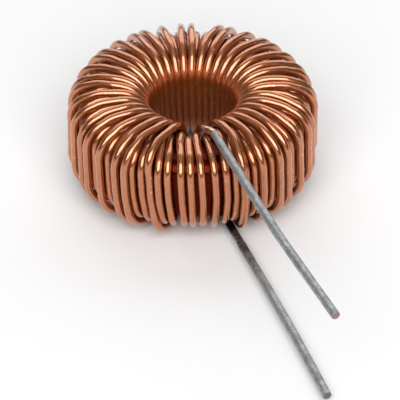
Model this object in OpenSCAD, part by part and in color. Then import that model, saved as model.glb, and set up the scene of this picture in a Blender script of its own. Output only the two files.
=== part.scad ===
// Toroidal inductor: a coated ring core wound with two layers of enamelled copper wire,
// lying flat, with both tinned wire ends led out to the front as solder leads.
// The ring axis is +Z, the turns rest on z = 0 and the leads run towards -Y.

/* [Core] */
// Outer diameter of the ring core over its coating
core_od = 24.3; // [23.8:0.1:25]
// Bore of the ring core inside its coating
core_id = 13.7; // [13.4:0.1:14.4]
// Height of the ring core over its coating
core_h = 8; // [6.5:0.1:10]
// Radius of the core's rounded edges
core_round = 1.8; // [1.4:0.1:2]

/* [Wire] */
// Wire diameter over the enamel
wire_d = 0.87; // [0.8:0.01:0.88]
// Play between the wire and what it is laid on
lay_play = 0.02; // [0.01:0.01:0.03]

/* [First layer] */
// Turns that lie directly on the core
first_turns = 68; // [60:1:69]
// Angle of the first turn, counted from the leads
first_from = -8.8; // [-9.2:0.1:-8.4]
// Extra angle left open for the last turn of the second layer
slot_gap = 3.6; // [3:0.1:4]
// Extra angle of the open spot where the core shows
open_gap = 1.1; // [0:0.1:2]
// Extra angle before the last turn of this layer
end_gap = 1.6; // [0:0.1:2]
// Spreading of the front turns where they enter the bore
bore_fan = 0.3; // [0.25:0.01:0.33]
// Angle by which the first turn leans on its way out of the bore
bore_lean = 3.6; // [3:0.1:4]
// Squeezing of the front turns at the foot of the outer wall
foot_squeeze = 0.1; // [0:0.05:0.12]
// Uneven lay of the turns on the outer wall, in degrees
first_wander = 0.2; // [0:0.05:0.25]

/* [Second layer] */
// Turns that lie on top of the first layer
second_turns = 36; // [30:1:36]
// Angle of its first turn on the outer wall
second_from = 5.3; // [4.5:0.1:7]
// Angle of its last turn on the outer wall
second_to = 317.1; // [316.6:0.1:317.6]
// Angle of its first turn in the bore
bore_from = 11.5; // [11:0.1:12]
// Angle of its last but one turn in the bore
bore_to = 338; // [336:0.1:338.5]
// Uneven lay of the turns on the outer wall, in degrees
second_wander = 1.6; // [0:0.1:1.9]

/* [Leads] */
// Diameter of the tinned solder ends
lead_d = 1; // [0.98:0.01:1.05]
// Diameter of the upper lead's stem, which crosses over the ring
stem_d = 0.94; // [0.87:0.01:0.94]
// Distance of the upper lead's bend from the ring axis
bend_from = 26.8; // [16:0.1:30]
// Angle of the upper lead's stem, counted from straight to the front
stem_turn = 0; // [-0.4:0.05:0.2]
// Angle of the upper lead's solder end
upper_turn = 2.8; // [2.2:0.1:4]
// Distance of the upper lead's tip from the ring axis
upper_reach = 41.6; // [36:0.1:60]
// Angle of the lower lead
lower_turn = -1.6; // [-3:0.1:-0.5]
// Distance of the lower lead's tip from the ring axis
lower_reach = 41; // [28:0.1:60]

/* [Hidden] */
$fn = 96;

copper = "#b87048";
tin = "#9a9c9e";
core_coat = "#3c1610";

// Section of the core: its two radii, its straight stretches and the walk round it
core_ri = core_id / 2;
core_ro = core_od / 2;
wall_len = core_h - 2 * core_round;
face_len = core_ro - core_ri - 2 * core_round;
edge_len = core_round * PI / 2;
walk_len = 2 * wall_len + 2 * face_len + 4 * edge_len;

// Turn spacing of the two layers in degrees: the bore holds one wire more than the outside
end_room = 0.08;
first_pitch = (360 - slot_gap - open_gap - end_gap) / (first_turns + end_room);
bore_slip = first_pitch / first_turns;
second_pitch = (second_to - second_from) / (second_turns - 1);
bore_pitch = (bore_to - bore_from) / (second_turns - 2);
last_turn = first_turns + second_turns;

// First layer: the turns after which the three gaps lie, the middle and reach of the fan
slot_after = first_turns - 6;
open_after = first_turns - 4;
end_after = first_turns - 1;
gap_delay = 0.25;
fan_middle = -21.4;
fan_reach = 35;

// Phase steps of the uneven lay, so that neighbouring turns differ
first_phase = 151;
second_phase = 137.5;

// Wire spacing kept between touching turns, and height of one wire on another
lay_room = 1.06;
lay_d = wire_d * lay_room;

// Ring sides of the swept wire, and where each turn is bent: the direction of the
// section's normal, 0 outwards and 90 down, and half the bend there
wire_sides = 6;
wide_bend = 22.5;
fine_bend = 15;
bends = concat(
    [for (a = [wide_bend : 2 * wide_bend : 270]) [a, wide_bend]],
    [for (a = [270 + fine_bend : 2 * fine_bend : 360]) [a, fine_bend]]
);

// Leads: where the wire is tinned, where it bends towards the bore below, the angle at which
// it leaves the bore on top, and the height of the leads' axes over the core
upper_start = [-0.77, -8.69];
lower_start = [0.2, -14.6];
lower_bend = [0.2, -10.2];
upper_angle = -7.5;
bend_grip = 0.2;
lead_play = 0.2;
lead_rise = lay_play + lay_d + lead_d / 2 + lead_play;

function smooth(x) = let (t = min(max(x, 0), 1)) t * t * (3 - 2 * t);
function wrap(a) = a - 360 * floor((a + 180) / 360);

// Share of a turn that is walked when the section's normal points to a
function walked(a) =
    (wall_len / 2 + core_round * a * PI / 180 + (a > 90 ? face_len : 0)
        + (a > 180 ? wall_len : 0) + (a > 270 ? face_len : 0)) / walk_len;

// Centre of the rounded edge that the normal a belongs to, as radius and height
function edge_middle(a) = [
    cos(a) > 0 ? core_ro - core_round : core_ri + core_round,
    -sign(sin(a)) * (core_h / 2 - core_round)
];

// How far a place is into the bore, and how near to the foot of the outer wall, 0 to 1
foot_rise = 0.15;
foot_end = 0.4;
foot_fall = 0.2;
function inward(a) =
    smooth((core_ro - edge_middle(a)[0] - core_round * cos(a)) / (core_ro - core_ri));
function foot(a) = smooth(walked(a) / foot_rise) * smooth((foot_end - walked(a)) / foot_fall);

// Angle of the first layer after v turns, where the normal is a
function fan_weight(a) = bore_fan * inward(a) - foot_squeeze * foot(a);
function fan(x) = x * exp(-pow(x / fan_reach, 2));
function first_base(v) =
    first_from + first_pitch * v + slot_gap * smooth((v - slot_after - gap_delay) * 2)
        + open_gap * smooth((v - open_after - gap_delay) * 2)
        + end_gap * smooth((v - end_after - gap_delay) * 2);
function first_angle(v, a) =
    let (b = first_base(v))
    b + first_wander * sin(first_phase * v) * (1 - inward(a))
        + (bore_lean - bore_slip * v) * inward(a)
        + fan(wrap(b - fan_middle)) * fan_weight(a);

// Rise of every other turn where the first layer is crowded at angle th
function crowd_rise(th, a) =
    let (
        q = pow(wrap(th - fan_middle) / fan_reach, 2),
        spread = 1 + (1 - 2 * q) * exp(-q) * fan_weight(a),
        step = first_pitch * spread - bore_slip * inward(a) - 2 * first_wander * (1 - inward(a)),
        r = edge_middle(a)[0] + (core_round + lay_d) * cos(a),
        side = r * step * PI / 180
    )
    sqrt(max(0, lay_d * lay_d - side * side));

// Angle of the second layer. In the bore it is evenly spread; outside each turn lies in the
// groove of the first layer next to its own uneven place. A turn swings from one to the other
// over its whole way across the ring
swing_reach = 0.43;
function swing(a) = 1 - sin(90 * min(1, abs(walked(a) - 0.5) / swing_reach));
function second_base(v) = second_from + second_pitch * (v - first_turns - 1);
function groove(k) =
    let (place = second_base(k) + second_wander * sin(second_phase * (k - last_turn)))
    floor((place - first_from) / first_pitch) + 0.5;
function second_angle(v, a) =
    let (
        k = floor(v + 0.5),
        outside = second_base(v),
        inside = bore_from + bore_pitch * (v - first_turns - 1.5),
        pull = first_angle(groove(k) + v - k, a) - outside
    )
    outside * (1 - swing(a)) + inside * swing(a) + pull * (1 - inward(a));

// The wire climbs to the second layer on the bottom face and crosses over in the bore
climb_from = 0.13;
climb_len = 0.14;
cross_from = 0.34;
cross_len = 0.32;
function climbed(v) = smooth((v - first_turns - climb_from) / climb_len);
function crossed(v) = smooth((v - first_turns - cross_from) / cross_len);

// The last turn drops into the slot of the first layer on the outer wall
drop_before = 0.19;
drop_after = 0.17;
drop_len = 0.1;
function dropped(v) =
    smooth((v - last_turn + drop_before) / drop_len) * smooth((last_turn + drop_after - v) / drop_len);
function slot_angle(v, a) =
    let (u = v - last_turn + slot_after)
    (first_angle(u, a) + first_angle(u + 1, a)) / 2;

function layer_angle(v, a) =
    let (m = crossed(v))
    (first_angle(v, a) - (v >= first_turns ? 360 : 0)) * (1 - m) + second_angle(v, a) * m;
function wire_angle(v, a) =
    layer_angle(v, a) * (1 - dropped(v)) + slot_angle(v, a) * dropped(v);

// Height of the wire's axis over the core. On the outer wall the second layer sinks into the
// grooves between the turns of the first
nest_from = 0.34;
nest_len = 0.09;
low = wire_d / 2 + lay_play;
groove_half = (core_ro + low) * (first_pitch - 2 * first_wander) * PI / 360;
groove_rise = sqrt(lay_d * lay_d - groove_half * groove_half);
function nested(a) = smooth((abs(walked(a) - 0.5) - nest_from) / nest_len);
function wire_height(v, a) =
    let (
        even = 1 - floor(v) % 2,
        first = low + even * crowd_rise(first_angle(v, a), a),
        rest = lay_d + nested(a) * (groove_rise - lay_d),
        second = low + (rest + crowd_rise(second_angle(v, a), a)) * (1 - dropped(v)),
        m = climbed(v)
    )
    first * (1 - m) + second * m;

// One bend of the wire: axis point, direction across the layer, direction along the ring
function spoke(th) = [sin(th), -cos(th), 0];
function ring_at(point, out, across) = [
    for (i = [0 : wire_sides - 1])
    let (t = 360 * i / wire_sides)
    point + wire_d / 2 * (cos(t) * out + sin(t) * across)
];
function bend_ring(a, half, th, rise) =
    let (
        e = edge_middle(a),
        reach = (core_round + rise) / cos(half),
        out = cos(a) * spoke(th) - [0, 0, sin(a)],
        point = (e[0] + reach * cos(a)) * spoke(th) + [0, 0, e[1] - reach * sin(a)]
    )
    ring_at(point, out / cos(half), [cos(th), sin(th), 0]);

// Points at the leads' level, and the wire's section where it runs towards a lead
function lead_point(start, side) = [start[0], start[1], side * (core_h / 2 + lead_rise)];
function lead_ring(start, turn, side) =
    ring_at(lead_point(start, side), [0, 0, side], [cos(turn), sin(turn), 0]);

// The wire starts from the lower lead into the bore and ends over the bore's upper edge
first_bore = walked(90 + wide_bend);
last_bore = last_turn + walked(270 - wide_bend);
turn_out = 0.2;
turn_len = 0.25;
lift_out = 0.14;
lift_len = 0.2;
function end_angle(v, a) =
    let (th = wire_angle(v, a))
    th + smooth((v - last_bore + turn_out) / turn_len) * wrap(upper_angle - th);
function end_height(v, a) =
    let (h = wire_height(v, a))
    h + smooth((v - last_bore + lift_out) / lift_len) * (lead_rise - h);

wire_rings = concat(
    [lead_ring(lower_start, lower_turn, -1), lead_ring(lower_bend, lower_turn, -1)],
    [
        for (k = [0 : last_turn])
        for (b = bends)
        let (v = k + walked(b[0]))
        if (v >= first_bore && v <= last_bore)
        bend_ring(b[0], b[1], end_angle(v, b[0]), end_height(v, b[0]))
    ],
    [lead_ring(upper_start, stem_turn, 1)]
);
wire_points = [for (ring = wire_rings) each ring];

// The ring rests on its lowest turn
middle_z = -min([for (p = wire_points) p[2]]);

function tube_faces(rings, sides) = concat(
    [[for (i = [sides - 1 : -1 : 0]) i]],
    [
        for (j = [0 : rings - 2])
        for (i = [0 : sides - 1])
        let (
            n = (i + 1) % sides,
            p = j * sides,
            q = p + sides
        )
        each [[p + i, p + n, q + n], [p + i, q + n, q + i]]
    ],
    [[for (i = [0 : sides - 1]) (rings - 1) * sides + i]]
);

module core() {
    color(core_coat)
    translate([0, 0, middle_z])
    rotate_extrude()
    translate([core_ri, -core_h / 2])
    rounded_section(core_ro - core_ri, core_h, core_round);
}

module rounded_section(w, h, r) {
    difference() {
        square([w, h]);
        for (x = [0, 1], y = [0, 1])
            translate([x * w, y * h])
            mirror([x, 0])
            mirror([0, y])
            difference() {
                square(r);
                translate([r, r]) circle(r);
            }
    }
}

module winding() {
    color(copper)
    translate([0, 0, middle_z])
    polyhedron(wire_points, tube_faces(len(wire_rings), wire_sides), convexity = 20);
}

// Straight tinned wire from a point at an angle to a distance from the ring axis, starting a
// little before the point by its grip
module tinned(point, turn, reach, d, grip = 0) {
    translate(point)
    rotate([90, 0, turn])
    translate([0, 0, -grip])
    cylinder(h = (reach + point[1]) / cos(turn) + grip, d = d);
}

module upper_lead() {
    stem_run = bend_from + upper_start[1];
    bend = upper_start + stem_run * [tan(stem_turn), -1];
    color(tin)
    translate([0, 0, middle_z]) {
        tinned(lead_point(upper_start, 1), stem_turn, bend_from, stem_d);
        tinned(lead_point(bend, 1), upper_turn, upper_reach, lead_d, bend_grip);
    }
}

module lower_lead() {
    color(tin)
    translate([0, 0, middle_z])
    tinned(lead_point(lower_start, -1), lower_turn, lower_reach, lead_d);
}

core();
winding();
upper_lead();
lower_lead();
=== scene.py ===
# %% [markdown]
# # A toroidal inductor, dressed over its solids
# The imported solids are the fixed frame: a ring core, one long wire wound round it in two
# layers, and the two tinned ends of that wire. The cells below keep those places and sizes
# and add what the solids leave out: the round, smooth wire with its enamel, the tinning and
# the cut ends of the leads, the lacquer of the core, the light and the camera.

import bpy
import numpy as np
from mathutils import Matrix, Vector


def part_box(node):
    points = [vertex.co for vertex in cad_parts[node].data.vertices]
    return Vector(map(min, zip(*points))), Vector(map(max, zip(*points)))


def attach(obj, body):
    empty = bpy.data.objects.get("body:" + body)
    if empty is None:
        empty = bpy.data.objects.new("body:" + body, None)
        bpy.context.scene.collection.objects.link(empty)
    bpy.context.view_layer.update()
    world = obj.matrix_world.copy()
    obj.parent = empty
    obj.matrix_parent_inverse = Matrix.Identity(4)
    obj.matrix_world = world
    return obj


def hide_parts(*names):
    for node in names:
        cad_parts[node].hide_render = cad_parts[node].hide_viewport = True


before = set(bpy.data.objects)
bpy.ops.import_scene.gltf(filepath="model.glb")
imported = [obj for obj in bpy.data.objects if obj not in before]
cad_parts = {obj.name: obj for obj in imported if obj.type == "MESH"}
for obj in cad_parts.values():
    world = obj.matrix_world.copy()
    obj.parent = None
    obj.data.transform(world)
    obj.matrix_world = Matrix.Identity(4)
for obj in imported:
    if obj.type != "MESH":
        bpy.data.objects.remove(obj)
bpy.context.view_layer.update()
MM = 0.001
core_low, core_high = (np.array(p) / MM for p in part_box("core"))
MID_Z = float(core_low[2] + core_high[2]) / 2
print("nodes", sorted(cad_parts), "middle height of the ring", round(MID_Z, 3), "mm")

# %% [markdown]
# ## The camera
# The photograph is taken with a long lens from about forty degrees above, a little to the left
# of the leads. The eye point is set from the ring's middle by two angles and a distance, and
# the camera is then turned a little so that the ring sits left of and above the picture's middle.

# %% Camera
AZIMUTH, ELEVATION, DISTANCE = np.radians(-20.9), np.radians(38.0), 550.0
MM_PER_PIXEL = 0.1102
RING_PIXEL = np.array([192.7, 127.5])
PICTURE = 400
SENSOR = 36.0
NEAR_CLIP, FAR_CLIP = 0.01, 20.0


def eye_axes(azimuth, elevation):
    """Unit vectors of a viewer: towards the eye, to the right and up, from the two angles."""
    back = np.array([np.sin(azimuth) * np.cos(elevation), -np.cos(azimuth) * np.cos(elevation),
                     np.sin(elevation)])
    right = np.array([np.cos(azimuth), np.sin(azimuth), 0.0])
    return back, right, np.cross(back, right)


ring_middle = np.array([0.0, 0.0, MID_Z])
back, right, up = eye_axes(AZIMUTH, ELEVATION)
eye = ring_middle + DISTANCE * back
offset = (RING_PIXEL - PICTURE / 2) * MM_PER_PIXEL
target = ring_middle - offset[0] * right + offset[1] * up
lens = bpy.data.cameras.new("photo_lens")
lens.sensor_width = SENSOR
lens.lens = SENSOR * DISTANCE / (PICTURE * MM_PER_PIXEL)
lens.clip_start, lens.clip_end = NEAR_CLIP, FAR_CLIP
camera = bpy.data.objects.new("photo_camera", lens)
bpy.context.scene.collection.objects.link(camera)
gaze = Vector((eye - target) * MM).normalized()
side = Vector((0, 0, 1)).cross(gaze).normalized()
camera.matrix_world = Matrix((side, gaze.cross(side), gaze)).transposed().to_4x4()
camera.location = Vector(eye * MM)
bpy.context.scene.camera = camera
print("lens", round(lens.lens, 1), "mm, eye", (eye * MM).round(3))

# %% [markdown]
# ## From arrays to meshes
# Every new piece is a grid of points: rows along one parameter, columns along the other. One
# helper turns such a grid into quads, joins its last column to the first and caps the ends.


# %% Grid to mesh
def grid_mesh(name, points, caps=False, uv=None):
    """Mesh from a rows by columns grid of points in mm: each cell is the quad between row i and
    i+1 and column j and j+1, and the last column joins the first. Caps are one polygon over the
    first and the last row. uv holds a (u, v) pair for rows by columns + 1."""
    rows, cols = points.shape[:2]
    i, j = np.meshgrid(np.arange(rows - 1), np.arange(cols), indexing="ij")
    n = (j + 1) % cols
    quads = np.stack([i * cols + j, i * cols + n, (i + 1) * cols + n, (i + 1) * cols + j], -1)
    faces = quads.reshape(-1, 4).tolist()
    if caps:
        faces += [list(range(cols - 1, -1, -1)), list(range((rows - 1) * cols, rows * cols))]
    mesh = bpy.data.meshes.new(name)
    mesh.from_pydata((points.reshape(-1, 3) * MM).tolist(), [], faces)
    if uv is not None:
        corner = np.stack([uv[i, j], uv[i, j + 1], uv[i + 1, j + 1], uv[i + 1, j]], 2)
        flat = corner.reshape(-1, 2)
        if caps:
            flat = np.concatenate([flat, uv[0, cols - 1::-1], uv[-1, :cols]])
        layer = mesh.uv_layers.new(name="along_wire")
        layer.data.foreach_set("uv", flat.astype(np.float32).ravel())
    mesh.polygons.foreach_set("use_smooth", np.ones(len(mesh.polygons), bool))
    mesh.update()
    piece = bpy.data.objects.new(name, mesh)
    bpy.context.scene.collection.objects.link(piece)
    print(name, len(mesh.vertices), "points,", len(mesh.polygons), "faces")
    return piece


# %% [markdown]
# ## A wire along a path
# Wire and leads are the same shape twice over: a circle carried along a path. The circle keeps
# square to the path, and each point gets its place along the wire and round it as UV, so that
# a finish can follow the wire wherever it goes.


# %% Tube along a path
def length_so_far(path):
    """Length in mm from the path's start to each of its points: the running sum of its steps."""
    return np.concatenate([[0], np.cumsum(np.linalg.norm(np.diff(path, axis=0), axis=1))])


def tube_along(path, normal, radius, sides):
    """Round profile carried along a path: at each point the circle is radius times
    (cos t times the normal made square to the path + sin t times the third direction)."""
    along = np.gradient(path, axis=0)
    along /= np.linalg.norm(along, axis=1, keepdims=True)
    out = normal - (normal * along).sum(1, keepdims=True) * along
    out /= np.linalg.norm(out, axis=1, keepdims=True)
    third = np.cross(along, out)
    t = np.linspace(0, 2 * np.pi, sides, endpoint=False)
    ring = np.cos(t)[None, :, None] * out[:, None] + np.sin(t)[None, :, None] * third[:, None]
    return path[:, None] + np.reshape(radius, (-1, 1, 1)) * ring


def wire_uv(path, sides):
    """u is the length of wire so far in mm, v goes once round the wire from 0 to 1."""
    round_wire = np.linspace(0, 1, sides + 1)
    return np.stack(np.meshgrid(length_so_far(path), round_wire, indexing="ij"), -1)


# %% [markdown]
# ## The route of the wire
# The wire starts under the ring, goes up through the bore, over the top, down the outside and
# in again below, a hundred and four times. A curve drawn by hand would need thousands of
# points, so its angle round the ring and its height over the core are worked out for the whole
# length at once, from the same named values as the solids. The first layer lies on the core,
# every other turn lifted where the bore is too narrow. The second layer lies on it, outside in
# its grooves and unevenly spread, and the last turn drops into a gap of the first layer.

# %% Values of the winding, in mm and degrees
CORE_RI, CORE_RO, CORE_H, CORE_ROUND = 6.85, 12.15, 8.0, 1.8
WIRE_D, LAY_PLAY, LAY_ROOM = 0.87, 0.02, 1.06
FIRST_TURNS, FIRST_FROM, SLOT_GAP, OPEN_GAP, END_GAP = 68, -8.8, 3.6, 1.1, 1.6
BORE_FAN, BORE_LEAN, FOOT_SQUEEZE, FIRST_WANDER = 0.3, 3.6, 0.1, 0.2
SECOND_TURNS, SECOND_FROM, SECOND_TO, SECOND_WANDER = 36, 5.3, 317.1, 1.6
BORE_FROM, BORE_TO = 11.5, 338.0
FAN_MIDDLE, FAN_REACH, END_ROOM = -21.4, 35.0, 0.08
FIRST_PHASE, SECOND_PHASE = 151.0, 137.5
LEAD_D, STEM_D, LEAD_PLAY = 1.0, 0.94, 0.2

WALL, FACE = CORE_H - 2 * CORE_ROUND, CORE_RO - CORE_RI - 2 * CORE_ROUND
EDGE = CORE_ROUND * np.pi / 2
WALK = 2 * (WALL + FACE) + 4 * EDGE
LAY_D = WIRE_D * LAY_ROOM
FIRST_PITCH = (360 - SLOT_GAP - OPEN_GAP - END_GAP) / (FIRST_TURNS + END_ROOM)
BORE_SLIP = FIRST_PITCH / FIRST_TURNS
SECOND_PITCH = (SECOND_TO - SECOND_FROM) / (SECOND_TURNS - 1)
BORE_PITCH = (BORE_TO - BORE_FROM) / (SECOND_TURNS - 2)
LAST_TURN = FIRST_TURNS + SECOND_TURNS
SLOT_AFTER, OPEN_AFTER, END_AFTER = FIRST_TURNS - 6, FIRST_TURNS - 4, FIRST_TURNS - 1
LEAD_RISE = LAY_PLAY + LAY_D + LEAD_D / 2 + LEAD_PLAY
print("once round the core", round(WALK, 2), "mm, first pitch", round(FIRST_PITCH, 2),
      "second pitch", round(SECOND_PITCH, 2), "degrees")

# %% [markdown]
# ## Once round the core's section
# A turn follows the rounded rectangle of the core's section. Its place on that outline depends
# only on the share of the turn that is done, so walls, faces and rounded edges are looked up by
# interpolation for all turns at once, and no turn is drawn by itself.


# %% Walking round the core's section
def smooth(x):
    """0 below 0, 1 above 1, and 3x^2 - 2x^3 between."""
    t = np.clip(x, 0, 1)
    return t * t * (3 - 2 * t)


def soft_ramp(x, softness):
    """0 well below 0 and x well above, joined by a hyperbola: half of x plus the root of the
    squares of x and the softness."""
    return (x + np.sqrt(x ** 2 + softness ** 2)) / 2


def wrap(angle):
    """The same angle between -180 and 180 degrees."""
    return angle - 360 * np.floor((angle + 180) / 360)


def section_walk(share):
    """Where a turn is after a share of its length: the direction of the section's normal
    (0 outwards, 90 down, 180 into the bore, 270 up) and the middle of the rounded edge there.
    Straight stretches keep the normal and move the middle, edges turn the normal."""
    stretches = [WALL / 2, EDGE, FACE, EDGE, WALL, EDGE, FACE, EDGE, WALL / 2]
    ends = np.concatenate([[0], np.cumsum(stretches)])
    t = share * WALK
    far, near, half = CORE_RO - CORE_ROUND, CORE_RI + CORE_ROUND, CORE_H / 2 - CORE_ROUND
    normal = np.interp(t, ends, [0, 0, 90, 90, 180, 180, 270, 270, 360, 360])
    middle_r = np.interp(t, ends, [far] * 3 + [near] * 4 + [far] * 3)
    middle_z = np.interp(t, ends, [0, -half, -half, -half, -half, half, half, half, half, 0])
    return normal, middle_r, middle_z


def walked(normal):
    """Share of a turn at which the section's normal has turned that far."""
    return (WALL / 2 + CORE_ROUND * np.radians(normal) + FACE * (normal > 90)
            + WALL * (normal > 180) + FACE * (normal > 270)) / WALK


STEPS_A_TURN = 72
START_NORMAL, BORE_NORMAL, END_NORMAL = 112.5, 157.5, 247.5
FIRST_BORE, LAST_BORE = walked(START_NORMAL), LAST_TURN + walked(END_NORMAL)
turn = np.linspace(FIRST_BORE, LAST_BORE, int((LAST_BORE - FIRST_BORE) * STEPS_A_TURN) + 1)
share = turn % 1.0
normal_deg, edge_r, edge_z = section_walk(share)
print("turns", round(LAST_BORE - FIRST_BORE, 2), "in", len(turn), "steps")

# %% [markdown]
# ## Leaning, fanning and swinging
# A hand-wound turn isn't flat. There is less room in the bore than outside, so on its way in it
# leans over and fans out, and it swings back on its way out. Weights from 0 to 1 along the
# turn say how much of each there is. The swing rests while the wire runs straight up the bore,
# so that neighbours stay side by side there.

# %% Weights along a turn
SWING_REACH, BORE_SOFT = 0.43, 0.02
FOOT_UP, FOOT_END, FOOT_DOWN = 0.15, 0.4, 0.2
core_radius = edge_r + CORE_ROUND * np.cos(np.radians(normal_deg))
inward = smooth((CORE_RO - core_radius) / (CORE_RO - CORE_RI))
bore_half = 0.5 - walked(BORE_NORMAL)
past_bore = soft_ramp(np.abs(share - 0.5) - bore_half, BORE_SOFT)
swing = 1 - np.sin(np.pi / 2 * np.minimum(1, (bore_half + past_bore) / SWING_REACH))
foot = smooth(share / FOOT_UP) * smooth((FOOT_END - share) / FOOT_DOWN)
fan_weight = BORE_FAN * inward - FOOT_SQUEEZE * foot
print("swing", swing.min().round(2), "to", swing.max().round(2), "fan weight",
      fan_weight.min().round(2), "to", fan_weight.max().round(2))

# %% [markdown]
# ## Angles of both layers
# The first layer is wound closely, with three gaps near the leads. The second is looser: outside
# each of its turns has slid into the nearest groove of the first layer.


# %% Angles of both layers
GAP_DELAY, GAP_SPAN = 0.25, 0.5


def opened(v, after):
    """0 up to a turn and 1 from the next on, by a smooth step at the bore."""
    return smooth((v - after - GAP_DELAY) / GAP_SPAN)


def first_angle(v):
    """Even pitch, plus the three gaps, a small wander outside, a lean in the bore, and the fan:
    the angle from the fan's middle times a bell of it, which spreads the front turns."""
    base = (FIRST_FROM + FIRST_PITCH * v + SLOT_GAP * opened(v, SLOT_AFTER)
            + OPEN_GAP * opened(v, OPEN_AFTER) + END_GAP * opened(v, END_AFTER))
    x = wrap(base - FAN_MIDDLE)
    return (base + FIRST_WANDER * np.sin(np.radians(FIRST_PHASE * v)) * (1 - inward)
            + (BORE_LEAN - BORE_SLIP * v) * inward
            + x * np.exp(-(x / FAN_REACH) ** 2) * fan_weight)


def second_angle(v):
    """Even pitch in the bore and another even pitch outside, blended by the swing. Outside each
    turn is also pulled into a groove of the first layer: the groove below its wandering place."""
    outside = SECOND_FROM + SECOND_PITCH * (v - FIRST_TURNS - 1)
    inside = BORE_FROM + BORE_PITCH * (v - FIRST_TURNS - 1.5)
    whole = np.floor(v + 0.5)
    about = (SECOND_FROM + SECOND_PITCH * (whole - FIRST_TURNS - 1)
             + SECOND_WANDER * np.sin(np.radians(SECOND_PHASE * (whole - LAST_TURN))))
    groove = np.floor((about - FIRST_FROM) / FIRST_PITCH) + 0.5
    pull = first_angle(groove + v - whole) - outside
    return outside * (1 - swing) + inside * swing + pull * (1 - inward)


one, two = first_angle(turn), second_angle(turn)
print("first layer from", one[0].round(1), "degrees, second layer to", two[-1].round(1), "degrees")

# %% [markdown]
# ## Heights of both layers
# Where turns have no room side by side, every other one rides up between its neighbours. The
# second layer rests on the first: a whole wire higher in the bore, and lower outside, where it
# lies in a groove.


# %% Heights of both layers
ONSET = 0.08
NEST_FROM, NEST_SPAN = 0.34, 0.09


def crowd_rise(angle):
    """Height that keeps two neighbours a wire apart where they are closer than that sideways:
    the other side of a right triangle whose longest side is the wire spacing. It sets in softly."""
    q = (wrap(angle - FAN_MIDDLE) / FAN_REACH) ** 2
    spread = 1 + (1 - 2 * q) * np.exp(-q) * fan_weight
    step = FIRST_PITCH * spread - BORE_SLIP * inward - 2 * FIRST_WANDER * (1 - inward)
    radius = edge_r + (CORE_ROUND + LAY_D) * np.cos(np.radians(normal_deg))
    room = np.maximum(0, LAY_D ** 2 - (radius * np.radians(step)) ** 2)
    return np.sqrt(room + ONSET ** 2) - ONSET


low = WIRE_D / 2 + LAY_PLAY
lifted = 1 - np.floor(turn + 1e-9) % 2
half_step = (CORE_RO + low) * np.radians(FIRST_PITCH - 2 * FIRST_WANDER) / 2
nested = smooth((np.abs(share - 0.5) - NEST_FROM) / NEST_SPAN)
rest = LAY_D + nested * (np.sqrt(LAY_D ** 2 - half_step ** 2) - LAY_D)
first_height = low + lifted * crowd_rise(one)
second_rise = rest + crowd_rise(two)
print("second layer", second_rise.min().round(2), "to", second_rise.max().round(2),
      "mm over the first")

# %% [markdown]
# ## From the first layer to the second, and out
# After its 68 turns the wire climbs onto the first layer under the ring and crosses to the place
# of the second. At the front its last turn drops into the widest gap, and in the bore the wire
# rises to the upper lead. Smooth steps over a share of a turn make all of these.

# %% Joining the layers
CLIMB_FROM, CLIMB_SPAN, CROSS_FROM, CROSS_SPAN = 0.13, 0.14, 0.34, 0.32
DROP_BEFORE, DROP_AFTER, DROP_SPAN = 0.19, 0.17, 0.1
TURN_OUT, TURN_OUT_SPAN, RISE_OUT, RISE_OUT_SPAN = 0.2, 0.25, 0.14, 0.2
UPPER_DEG = -7.5
climbed = smooth((turn - FIRST_TURNS - CLIMB_FROM) / CLIMB_SPAN)
crossed = smooth((turn - FIRST_TURNS - CROSS_FROM) / CROSS_SPAN)
dropped = (smooth((turn - LAST_TURN + DROP_BEFORE) / DROP_SPAN)
           * smooth((LAST_TURN + DROP_AFTER - turn) / DROP_SPAN))
ring_deg = (one - 360 * (turn >= FIRST_TURNS)) * (1 - crossed) + two * crossed
slot_turn = turn - LAST_TURN + SLOT_AFTER
slot = (first_angle(slot_turn) + first_angle(slot_turn + 1)) / 2
ring_deg = ring_deg * (1 - dropped) + slot * dropped
height = first_height * (1 - climbed) + (low + second_rise * (1 - dropped)) * climbed
turned_out = smooth((turn - LAST_BORE + TURN_OUT) / TURN_OUT_SPAN)
ring_deg = ring_deg + turned_out * wrap(UPPER_DEG - ring_deg)
risen_out = smooth((turn - LAST_BORE + RISE_OUT) / RISE_OUT_SPAN)
height = height + risen_out * (LEAD_RISE - height)
print("height of the wire's axis over the core", height.min().round(2), "to",
      height.max().round(2), "mm")

# %% [markdown]
# ## The leads' paths
# Both ends run out level to the same side. Each has a slight bend where it was pulled straight
# by hand, the upper one more than the lower one.

# %% Lead paths
UPPER_START, LOWER_START = (-0.77, -8.69), (0.17, -14.6)
UPPER_LEAD = dict(first_deg=0.0, bend_from=26.8, last_deg=2.8, reach=41.6)
LOWER_LEAD = dict(first_deg=-0.8, bend_from=29.0, last_deg=-2.5, reach=41.0)
LEAD_STEPS, BEND_SOFT = 200, 3.0


def lead_path(start, level, first_deg, bend_from, last_deg, reach):
    """Level path of a bent lead from its start towards -Y, over the ring (level 1) or under it
    (level -1): sideways it follows the tangent of the first angle, and past the bend the tangent
    of the last, the corner rounded by a soft ramp."""
    run = np.linspace(0, reach + start[1], LEAD_STEPS)
    turned = soft_ramp(run - (bend_from + start[1]), BEND_SOFT)
    first, last = np.tan(np.radians([first_deg, last_deg]))
    x = start[0] + first * run + (last - first) * turned
    return np.stack([x - (last - first) * turned[0], start[1] - run,
                     np.full(LEAD_STEPS, MID_Z + level * (CORE_H / 2 + LEAD_RISE))], -1)


upper_path = lead_path(UPPER_START, 1, **UPPER_LEAD)
lower_path = lead_path(LOWER_START, -1, **LOWER_LEAD)
upper_length, lower_length = (float(length_so_far(p)[-1]) for p in (upper_path, lower_path))
print("upper lead", round(upper_length, 1), "mm, lower lead", round(lower_length, 1), "mm")

# %% [markdown]
# ## The whole path
# Angles and heights become points, and two short curves join the turns to the leads, so that the
# wire is one path from the lower lead to the upper one, as it is on the real coil.

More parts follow.
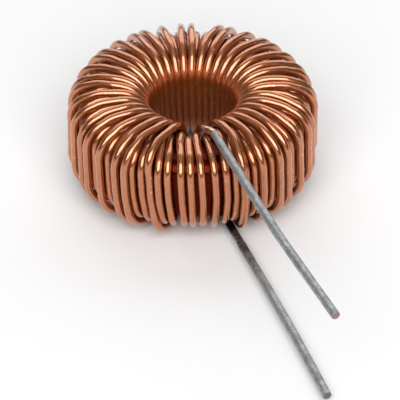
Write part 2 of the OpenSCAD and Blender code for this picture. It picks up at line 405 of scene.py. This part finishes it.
# %% From angles to points
LOWER_BEND, LOWER_ROWS = (0.2, -10.2), 24
STEPS_IN, STEPS_OUT = 14, 8
UP, DOWN, FORWARD = np.array([[0, 0, 1.0], [0, 0, -1.0], [0, -1.0, 0]])


def spoke(deg):
    """Unit vector from the ring's axis, 0 degrees towards the leads."""
    a = np.radians(deg)
    return np.stack([np.sin(a), -np.cos(a), np.zeros_like(a)], -1)


def bridge(p, p_way, q, q_way, steps):
    """Cubic curve from p along p_way to q along q_way, its two handles a third of the gap."""
    t = np.linspace(0, 1, steps + 1)[1:-1, None]
    third = np.linalg.norm(q - p) / 3
    a, b = p + third * p_way, q - third * q_way
    return (1 - t) ** 3 * p + 3 * (1 - t) ** 2 * t * a + 3 * (1 - t) * t ** 2 * b + t ** 3 * q


nd = np.radians(normal_deg)[:, None]
out_way = np.cos(nd) * spoke(ring_deg) - np.sin(nd) * UP
turns_path = (edge_r[:, None] * spoke(ring_deg) + UP * edge_z[:, None]
              + (CORE_ROUND + height)[:, None] * out_way + UP * MID_Z)
ends_way = np.gradient(turns_path, axis=0)[[0, -1]]
ends_way /= np.linalg.norm(ends_way, axis=1, keepdims=True)
lower_turn = np.array([*LOWER_BEND, lower_path[0, 2]])
lower_gap = lower_turn - lower_path[0]
lower_run = lower_path[0] + np.linspace(0, 1, LOWER_ROWS)[:, None] * lower_gap
lower_way = lower_gap / np.linalg.norm(lower_gap)
rise_in = bridge(lower_turn, lower_way, turns_path[0], ends_way[0], STEPS_IN)
rise_out = bridge(turns_path[-1], ends_way[1], upper_path[0], FORWARD, STEPS_OUT)
path = np.concatenate([lower_run, rise_in, turns_path, rise_out, upper_path[:1]])
normals = np.concatenate([np.tile(DOWN, (len(lower_run) + len(rise_in), 1)), out_way,
                          np.tile(UP, (len(rise_out) + 1, 1))])
wire_length = float(length_so_far(path)[-1])
print("length of the wound wire", round(wire_length / 1000, 3), "m")

# %% [markdown]
# ## The wound wire
# A curve object with a bevel would give the same round wire, but a profile carried along the
# path in one array keeps the exact route and gives each point a place along the wire, which
# the enamel's material follows.

# %% Winding
WIRE_SIDES = 12
winding = grid_mesh("winding_wire", tube_along(path, normals, WIRE_D / 2, WIRE_SIDES), caps=True,
                    uv=wire_uv(path, WIRE_SIDES))

# %% [markdown]
# ## The tinned leads
# The bare ends were dipped in solder, so they are a little thicker than the wire and slightly
# wavy. They are cut with pliers, which leaves a narrow rounded rim round a flat face.

# %% Leads
LEAD_ROWS, LEAD_SIDES = 180, 24
RIM, RIM_ROWS, RIM_ROUND = 0.12, 7, 0.99
DIP_GROWS, SWELL = 12.0, 0.022
SWELL_WAVES = ((0.3, 0.9, 2), (0.2, 2.3, 1))


def lead_piece(name, line, level):
    """Tube along a lead: its radius grows from the stem to the dipped end by a smooth step and
    swells by a small sum of sines; the last rows close in as a quarter circle to the flat cut."""
    run = length_so_far(line)
    rim = np.linspace(0, 1, RIM_ROWS)
    s = np.concatenate([np.linspace(0, run[-1] - RIM, LEAD_ROWS)[:-1],
                        run[-1] - RIM * (1 - np.sin(rim * np.pi / 2))])
    line = np.stack([np.interp(s, run, line[:, i]) for i in range(3)], -1)
    waves = (size * np.sin(rate * s + phase * level) for size, rate, phase in SWELL_WAVES)
    grown = (LEAD_D - STEM_D) / 2 * smooth(s / DIP_GROWS)
    radius = STEM_D / 2 + grown - SWELL * sum(waves, 0.5)
    radius[-RIM_ROWS:] -= RIM * (1 - np.sqrt(1 - RIM_ROUND * rim ** 2))
    grid = tube_along(line, np.tile(UP * level, (len(s), 1)), radius, LEAD_SIDES)
    return grid_mesh(name, grid, caps=True, uv=wire_uv(line, LEAD_SIDES))


upper_lead = lead_piece("upper_lead_wire", upper_path, 1)
lower_lead = lead_piece("lower_lead_wire", lower_path, -1)

# %% [markdown]
# ## Shared mottling
# Enamel, tin and the core's lacquer all vary a little from place to place. One node group makes
# that variation: a noise pushed between two limits, so that each material sets only its scale
# and contrast.

# %% Mottling group
NOISE_DETAIL = 4.0


def mottle_group():
    """Node group: noise of a point, its value mapped from (Low, High) to 0..1 and kept there."""
    group = bpy.data.node_groups.new("surface_mottle", "ShaderNodeTree")
    for socket, kind in (("Vector", "NodeSocketVector"), ("Scale", "NodeSocketFloat"),
                         ("Low", "NodeSocketFloat"), ("High", "NodeSocketFloat")):
        group.interface.new_socket(socket, in_out="INPUT", socket_type=kind)
    group.interface.new_socket("Mask", in_out="OUTPUT", socket_type="NodeSocketFloat")
    entry, leave = group.nodes.new("NodeGroupInput"), group.nodes.new("NodeGroupOutput")
    noise, reach = group.nodes.new("ShaderNodeTexNoise"), group.nodes.new("ShaderNodeMapRange")
    noise.inputs["Detail"].default_value = NOISE_DETAIL
    group.links.new(entry.outputs["Vector"], noise.inputs["Vector"])
    group.links.new(entry.outputs["Scale"], noise.inputs["Scale"])
    group.links.new(noise.outputs["Fac"], reach.inputs["Value"])
    group.links.new(entry.outputs["Low"], reach.inputs["From Min"])
    group.links.new(entry.outputs["High"], reach.inputs["From Max"])
    group.links.new(reach.outputs["Result"], leave.inputs["Mask"])
    return group


MOTTLE = mottle_group()
print(MOTTLE.name, "with", len(MOTTLE.nodes), "nodes")

# %% [markdown]
# ## Short calls for a material
# A finish is built from a handful of moves: mottle, mix two colours, mix two numbers, pick a
# stretch of the wire, raise a bump. Each is a few nodes, so each gets a short call.


# %% Finish
class Finish:
    """A material with short calls for its nodes."""

    def __init__(self, name):
        self.material = bpy.data.materials.new(name)
        self.material.use_nodes = True
        self.nodes, self.links = self.material.node_tree.nodes, self.material.node_tree.links
        self.shader = self.nodes["Principled BSDF"]
        self.place = self.nodes.new("ShaderNodeTexCoord")

    def mottle(self, source, stretched, scale, low, high):
        """Mask from the shared mottling group, over coordinates stretched along each axis."""
        mapping, node = self.nodes.new("ShaderNodeMapping"), self.nodes.new("ShaderNodeGroup")
        mapping.inputs["Scale"].default_value = stretched
        node.node_tree = MOTTLE
        for key, value in (("Scale", scale), ("Low", low), ("High", high)):
            node.inputs[key].default_value = value
        self.links.new(self.place.outputs[source], mapping.inputs["Vector"])
        self.links.new(mapping.outputs["Vector"], node.inputs["Vector"])
        return node.outputs["Mask"]

    def blend(self, mask, first, second):
        """Colour between two colours or sockets by a mask."""
        node = self.nodes.new("ShaderNodeMix")
        node.data_type = "RGBA"
        self.links.new(mask, node.inputs["Factor"])
        for key, value in (("A", first), ("B", second)):
            socket = next(s for s in node.inputs if s.name == key and s.type == "RGBA")
            if isinstance(value, tuple):
                socket.default_value = (*value, 1.0)
            else:
                self.links.new(value, socket)
        return next(s for s in node.outputs if s.type == "RGBA")

    def between(self, mask, first, second):
        """Number between two numbers by a mask."""
        node = self.nodes.new("ShaderNodeMapRange")
        node.inputs["To Min"].default_value = first
        node.inputs["To Max"].default_value = second
        self.links.new(mask, node.inputs["Value"])
        return node.outputs["Result"]

    def stretch(self, low, high):
        """Mask that goes from 0 to 1 while the length along the wire goes from low to high mm."""
        split, node = self.nodes.new("ShaderNodeSeparateXYZ"), self.nodes.new("ShaderNodeMapRange")
        self.links.new(self.place.outputs["UV"], split.inputs["Vector"])
        self.links.new(split.outputs["X"], node.inputs["Value"])
        node.inputs["From Min"].default_value, node.inputs["From Max"].default_value = low, high
        return node.outputs["Result"]

    def bump(self, mask, strength, distance):
        """Normal raised by a mask: distance in mm."""
        node = self.nodes.new("ShaderNodeBump")
        node.inputs["Strength"].default_value = strength
        node.inputs["Distance"].default_value = distance * MM
        self.links.new(mask, node.inputs["Height"])
        self.links.new(node.outputs["Normal"], self.shader.inputs["Normal"])

    def give(self, socket, value):
        """Link or set one input of the shader."""
        if isinstance(value, (int, float, tuple)):
            self.shader.inputs[socket].default_value = value
        else:
            self.links.new(value, self.shader.inputs[socket])

    def dress(self, piece):
        """Make this the only material of a piece."""
        piece.data.materials.clear()
        piece.data.materials.append(self.material)
        print(piece.name, "wears", self.material.name, "with", len(self.nodes), "nodes")


# %% [markdown]
# ## Enamelled copper
# Magnet wire is bright drawn copper under a clear, slightly amber enamel. The enamel is the
# shader's coat, a thin clear gloss; it is a little hazy, so the copper under it isn't fully
# metallic. The colour changes slowly along the wire, fine lines come from drawing it through a
# die, and small bright specks are painted glints, set where nicks from winding would be. The
# start is black, partly burnt enamel and partly painted shade under the ring's edge, and is
# splashed with tin where it was dipped, and the end is scraped bare. Masks along the wire's
# length put each of these marks where it belongs, whatever way the wire takes.

# %% Copper tones
COPPER_DEEP, COPPER_BRIGHT = (0.47, 0.138, 0.034), (0.55, 0.178, 0.05)
# The bright nick colour is a painted glint: small bright specks in the base colour.
COPPER_SPOT, COPPER_NICK_GLINT = (0.44, 0.118, 0.026), (0.85, 0.55, 0.38)
BARED_DULL, BARED_BRIGHT = (0.3, 0.1, 0.045), (0.66, 0.42, 0.3)
# The black at the wire's start, under the tin splashes too, is partly burnt enamel and partly
# painted shade where the wire runs under the ring's edge.
SCORCH_AND_SHADE, SPLASH_SCORCH_AND_SHADE, SPLASH_TIN = (0.012, 0.011, 0.01), (0.03, 0.03, 0.03), (0.34, 0.35, 0.35)
SCORCH_AND_SHADE_TO, SCORCH_AND_SHADE_FADE, SPLASHED, SCRAPED = 7.5, 2.0, 2.6, 2.4

# %% Copper
copper = Finish("enamelled_copper")
slow = copper.mottle("UV", (0.05, 0.4, 1.0), scale=1.0, low=0.35, high=0.65)
lines = copper.mottle("UV", (0.15, 14.0, 1.0), scale=2.0, low=0.3, high=0.7)
spots = copper.mottle("UV", (1.2, 3.0, 1.0), scale=1.0, low=0.45, high=0.75)
flakes = copper.mottle("UV", (3.0, 5.0, 1.0), scale=1.0, low=0.45, high=0.55)
# Sparse bright specks: painted glints, set where nicks in the enamel would be.
nick_glints = copper.mottle("UV", (2.5, 4.0, 1.0), scale=1.0, low=0.66, high=0.72)
# Black start: burnt enamel and painted shade under the ring's edge.
scorch_and_shade = copper.stretch(SCORCH_AND_SHADE_TO, SCORCH_AND_SHADE_TO - SCORCH_AND_SHADE_FADE)
splashed = copper.stretch(SPLASHED, SPLASHED / 2)
scraped = copper.stretch(wire_length - SCRAPED, wire_length - SCRAPED / 2)
tone = copper.blend(slow, COPPER_DEEP, COPPER_BRIGHT)
tone = copper.blend(spots, tone, COPPER_SPOT)
tone = copper.blend(scraped, tone, copper.blend(flakes, BARED_DULL, BARED_BRIGHT))
tone = copper.blend(nick_glints, tone, COPPER_NICK_GLINT)
tone = copper.blend(scorch_and_shade, tone, SCORCH_AND_SHADE)
tone = copper.blend(splashed, tone, copper.blend(flakes, SPLASH_SCORCH_AND_SHADE, SPLASH_TIN))
copper.give("Base Color", tone)
copper.give("Metallic", 0.82)
copper.give("Roughness", copper.between(lines, 0.18, 0.28))
copper.give("Coat Weight", copper.between(scorch_and_shade, 1.0, 0.1))
copper.give("Coat Roughness", 0.1)
copper.give("Coat IOR", 1.8)
copper.bump(lines, strength=0.15, distance=0.02)
copper.dress(winding)

# %% [markdown]
# ## Dip tinning
# The tin is a grey, satin, slightly blotchy and grainy metal. Next to the ring the lower lead is
# black, partly soot where the enamel was burnt off and partly painted shade under the ring's
# edge, and each tip shows the tone of its cut: copper on the upper lead, dull grey on the lower
# one.

# %% Tin
TIN_DULL, TIN_BRIGHT, TIN_GRAIN = (0.27, 0.283, 0.286), (0.47, 0.487, 0.49), (0.2, 0.207, 0.207)
# Soot tones, which also stand for painted shade next to the ring.
SOOT_AND_SHADE, SOOTY_SHADED_TIN = (0.014, 0.013, 0.012), (0.2, 0.2, 0.2)
UPPER_CUT, LOWER_CUT, CUT_EDGE = (0.32, 0.2, 0.18), (0.16, 0.155, 0.15), 0.01
# Lengths of that soot and painted shade from each lead's start.
UPPER_SOOT_SHADE, LOWER_SOOT_SHADE = 0.01, 6.0


def dip_tin(name, tip, soot_shade_length, cut_tone):
    """Tin with blotches and grain. At its start it is black, partly soot and partly painted shade
    next to the ring, and it clears up to that length; at the tip, where the wire is cut, it takes
    the tone of the cut."""
    tin = Finish(name)
    blotch = tin.mottle("UV", (0.9, 3.0, 1.0), scale=1.0, low=0.35, high=0.68)
    grain = tin.mottle("UV", (4.0, 11.0, 1.0), scale=1.0, low=0.46, high=0.7)
    tone = tin.blend(blotch, TIN_DULL, TIN_BRIGHT)
    tone = tin.blend(grain, tone, TIN_GRAIN)
    # Black start: soot and painted shade next to the ring.
    soot_and_shade = tin.blend(blotch, SOOT_AND_SHADE, SOOTY_SHADED_TIN)
    tone = tin.blend(tin.stretch(soot_shade_length, 0.0), tone, soot_and_shade)
    tin.give("Base Color", tin.blend(tin.stretch(tip - CUT_EDGE, tip), tone, cut_tone))
    tin.give("Metallic", 0.7)
    tin.give("Roughness", tin.between(blotch, 0.52, 0.4))
    tin.bump(grain, strength=0.3, distance=0.04)
    return tin


dip_tin("upper_tinning", upper_length, UPPER_SOOT_SHADE, UPPER_CUT).dress(upper_lead)
dip_tin("lower_tinning", lower_length, LOWER_SOOT_SHADE, LOWER_CUT).dress(lower_lead)

# %% [markdown]
# ## The core's lacquer
# Through the gaps between the front turns the core shows a deep, glossy red. A painted surface
# would also mirror the white room there, so the lacquer is made as a dark red metal, which
# mirrors only red. Its solid has the right shape and stays.

# %% Core
LACQUER_DEEP, LACQUER_LIGHT = (0.055, 0.0055, 0.002), (0.09, 0.0075, 0.003)
coat = Finish("core_coating")
fleck = coat.mottle("Object", (1.0, 1.0, 1.0), scale=1800.0, low=0.4, high=0.65)
coat.give("Base Color", coat.blend(fleck, LACQUER_DEEP, LACQUER_LIGHT))
coat.give("Metallic", 1.0)
coat.give("Roughness", coat.between(fleck, 0.22, 0.35))
coat.bump(fleck, strength=0.2, distance=0.03)
coat.dress(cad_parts["core"])

# %% [markdown]
# ## The floor
# A round white floor rises into a low wall all round, so every view has the same pale
# background. A flat plane would end in a visible edge from low angles.

# %% Floor
FLOOR_FLAT, FLOOR_CURVE, FLOOR_CENTRE = 1400, 120, 0.001
FLAT_ROWS, CURVE_ROWS, FLOOR_SIDES = 24, 16, 96
WHITE_LOW, WHITE_HIGH = (0.85, 0.85, 0.85), (0.87, 0.87, 0.87)


def bowl_floor():
    """Surface of revolution: flat out to a radius, then a quarter circle up to a low wall."""
    bend = np.linspace(0, np.pi / 2, CURVE_ROWS)
    r = np.concatenate([np.linspace(FLOOR_CENTRE, FLOOR_FLAT, FLAT_ROWS),
                        FLOOR_FLAT + FLOOR_CURVE * np.sin(bend)])[:, None]
    z = np.concatenate([np.zeros(FLAT_ROWS), FLOOR_CURVE - FLOOR_CURVE * np.cos(bend)])[:, None]
    a = np.linspace(0, 2 * np.pi, FLOOR_SIDES, endpoint=False)
    return np.stack([r * np.cos(a), r * np.sin(a), np.repeat(z, FLOOR_SIDES, 1)], -1)


floor = grid_mesh("studio_floor", bowl_floor())
white = Finish("studio_white")
speck = white.mottle("Object", (1.0, 1.0, 1.0), scale=30.0, low=0.3, high=0.7)
white.give("Base Color", white.blend(speck, WHITE_LOW, WHITE_HIGH))
white.give("Roughness", 0.9)
white.dress(floor)

# %% [markdown]
# ## The light
# One large bright panel stands behind the camera and a little above it. It draws the long
# highlight on the shoulder of each turn. A wide one behind the ring and a weak one over it give
# the far turns and the top their thinner lights, and a faint even world fills the rest.

# %% Lamps: degrees round from the camera, degrees up, distance, width, height in mm, level
LAMPS = {"front_lamp": (0.0, 44.0, 700, 840, 580, 4.2),
         "top_lamp": (180.0, 80.0, 600, 800, 800, 0.3),
         "back_lamp": (180.0, 36.0, 600, 900, 520, 1.5)}
WORLD_WHITE, WORLD_LEVEL = (1.0, 1.0, 1.0, 1.0), 0.12


def soft_lamp(name, round_deg, up_deg, distance, wide, tall, level):
    """Rectangular area lamp that faces the ring from two angles and a distance. Its face shines
    with the given level: power is pi times area times level."""
    light = bpy.data.lights.new(name, "AREA")
    light.shape, light.size, light.size_y = "RECTANGLE", wide * MM, tall * MM
    light.energy = np.pi * light.size * light.size_y * level
    lamp = bpy.data.objects.new(name, light)
    bpy.context.scene.collection.objects.link(lamp)
    way = eye_axes(AZIMUTH + np.radians(round_deg), np.radians(up_deg))[0]
    lamp.location = Vector((ring_middle + distance * way) * MM)
    from_ring = lamp.location - Vector(ring_middle * MM)
    lamp.rotation_euler = from_ring.to_track_quat("Z", "Y").to_euler()
    print(name, round(light.energy, 2), "W")


for name, values in LAMPS.items():
    soft_lamp(name, *values)
world = bpy.data.worlds.new("studio_air")
bpy.context.scene.world = world
world.use_nodes = True
air = world.node_tree.nodes["Background"]
air.inputs["Color"].default_value = WORLD_WHITE
air.inputs["Strength"].default_value = WORLD_LEVEL
bpy.context.scene.view_settings.view_transform = "Standard"

# %% [markdown]
# ## Hand-over
# The wire and both leads take the place of their solids and ride on the part's one body.

# %% Ride and take the solids' place
for piece, node, slot_name in ((winding, "winding", "copper"), (upper_lead, "upper_lead", "tin"),
                               (lower_lead, "lower_lead", "tin")):
    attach(piece, "root")
    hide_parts(node)
